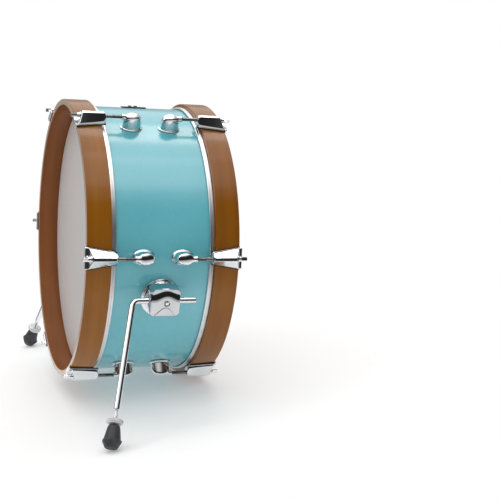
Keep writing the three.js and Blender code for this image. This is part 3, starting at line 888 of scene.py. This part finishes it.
p = nt.nodes.new("ShaderNodeBsdfPrincipled")
nt.links.new(mix(nt, spread(nt, grain, 0, 1, 0.35, 0.65), (0.79, 0.79, 0.795), (0.81, 0.81, 0.81)), p.inputs["Base Color"])
p.inputs["Roughness"].default_value = 0.75
p.inputs["Specular IOR Level"].default_value = 0.2
p.inputs["Emission Color"].default_value = (1.0, 1.0, 1.0, 1.0)
p.inputs["Emission Strength"].default_value = 0.24
nt.links.new(node(nt, "MapRange", {"Value": dist, "From Min": 0.38, "From Max": 0.66, "To Min": 1.0, "To Max": 0.0}, interpolation_type="SMOOTHSTEP"), p.inputs["Alpha"])
out = nt.nodes.new("ShaderNodeOutputMaterial")
nt.links.new(p.outputs[0], out.inputs[0])
floor_mesh.materials.append(mat)

world = bpy.data.worlds.new("studio")
bpy.context.scene.world = world
world.use_nodes = True
nt = world.node_tree
nt.nodes.clear()
d = node(nt, "TexCoord", out=0)
s = nt.nodes.new("ShaderNodeSeparateXYZ")
nt.links.new(d, s.inputs[0])
height = node(nt, "MapRange", {"Value": s.outputs[2], "From Min": -1.0, "From Max": 1.0, "To Min": 0.0, "To Max": 1.0})
sky = ramp(nt, height, [(0.0, 0.7), (0.2, 0.55), (0.34, 0.52), (0.395, 0.03), (0.52, 0.018), (0.68, 0.025), (0.77, 0.06), (0.81, 0.62), (0.90, 0.9), (1.0, 1.0)])
soft = ramp(nt, height, [(0.0, 1.0), (0.42, 0.98), (0.55, 0.90), (0.75, 0.50), (1.0, 0.34)])
far = ramp(nt, height, [(0.0, 0.7), (0.34, 0.50), (0.46, 0.30), (0.60, 0.34), (0.80, 0.6), (1.0, 0.9)])
sky = mix(nt, node(nt, "MapRange", {"Value": s.outputs[0], "From Min": -0.25, "From Max": 0.1, "To Min": 0.0, "To Max": 1.0}, interpolation_type="SMOOTHSTEP"), far, sky)
room = node(nt, "Background", {"Color": sky, "Strength": 1.0})
ambient = node(nt, "Background", {"Color": soft, "Strength": 1.0})
backdrop = node(nt, "Background", {"Color": (1.0, 1.0, 1.0, 1.0), "Strength": 1.0})
path = nt.nodes.new("ShaderNodeLightPath")
lit = node(nt, "MixShader", {0: path.outputs["Is Diffuse Ray"], 1: room, 2: ambient})
both = node(nt, "MixShader", {0: path.outputs["Is Camera Ray"], 1: lit, 2: backdrop})
out = nt.nodes.new("ShaderNodeOutputWorld")
nt.links.new(both, out.inputs[0])


def softbox(name, where, target, size, radiance, colour=(1, 1, 1)):
    """Area light of the given radiance; size is (height in its tilt plane, width along Y)."""
    light = bpy.data.lights.new(name, "AREA")
    light.shape = "RECTANGLE"
    light.size, light.size_y = size
    light.energy = radiance * math.pi * size[0] * size[1]
    light.color = colour
    obj = bpy.data.objects.new(name, light)
    z = (Vector(where) - Vector(target)).normalized()
    y = Vector((0, 1, 0))
    y = (y - z * y.dot(z)).normalized()
    m = Matrix((y.cross(z), y, z)).transposed().to_4x4()
    m.translation = Vector(where)
    obj.matrix_world = m
    bpy.context.scene.collection.objects.link(obj)
    return obj


softbox("overhead", (-0.50, 0.0, 2.0), (0, 0, 0.3), (0.80, 2.6), 2.2, (1.0, 0.965, 0.935))
softbox("overhead_wide", (0.08, 0.0, 2.1), (0, 0, 0.3), (1.1, 2.8), 0.75)
softbox("key", (1.20, -0.1, 2.50), (0, 0, 0.25), (1.4, 2.8), 0.95)
softbox("back", (-1.9, 0.6, 1.9), (0, 0, 0.25), (1.4, 2.4), 0.5)
softbox("front", (0.3, -2.2, 1.9), (0, -0.2, 0.2), (1.0, 1.4), 1.8)

# --------------------------------------------------------------------- camera
cam_data = bpy.data.cameras.new("camera")
cam_data.lens = 81.89
cam_data.sensor_width = 36.0
cam_data.sensor_fit = "HORIZONTAL"
cam_data.clip_start, cam_data.clip_end = 0.05, 50.0
cam = bpy.data.objects.new("camera", cam_data)
right = Vector((0.32886, 0.94313, 0.04863)).normalized()
back = -Vector((-0.93314, 0.33244, -0.13688))
back = (back - right * back.dot(right)).normalized()
up = back.cross(right)
pose = Matrix((right, up, back)).transposed().to_4x4()
pose.translation = Vector((1.95360, -0.46915, 0.26479))
cam.matrix_world = DRUM @ pose
bpy.context.scene.collection.objects.link(cam)
bpy.context.scene.camera = cam
bpy.context.scene.view_settings.view_transform = "Standard"
bpy.context.scene.view_settings.look = "None"
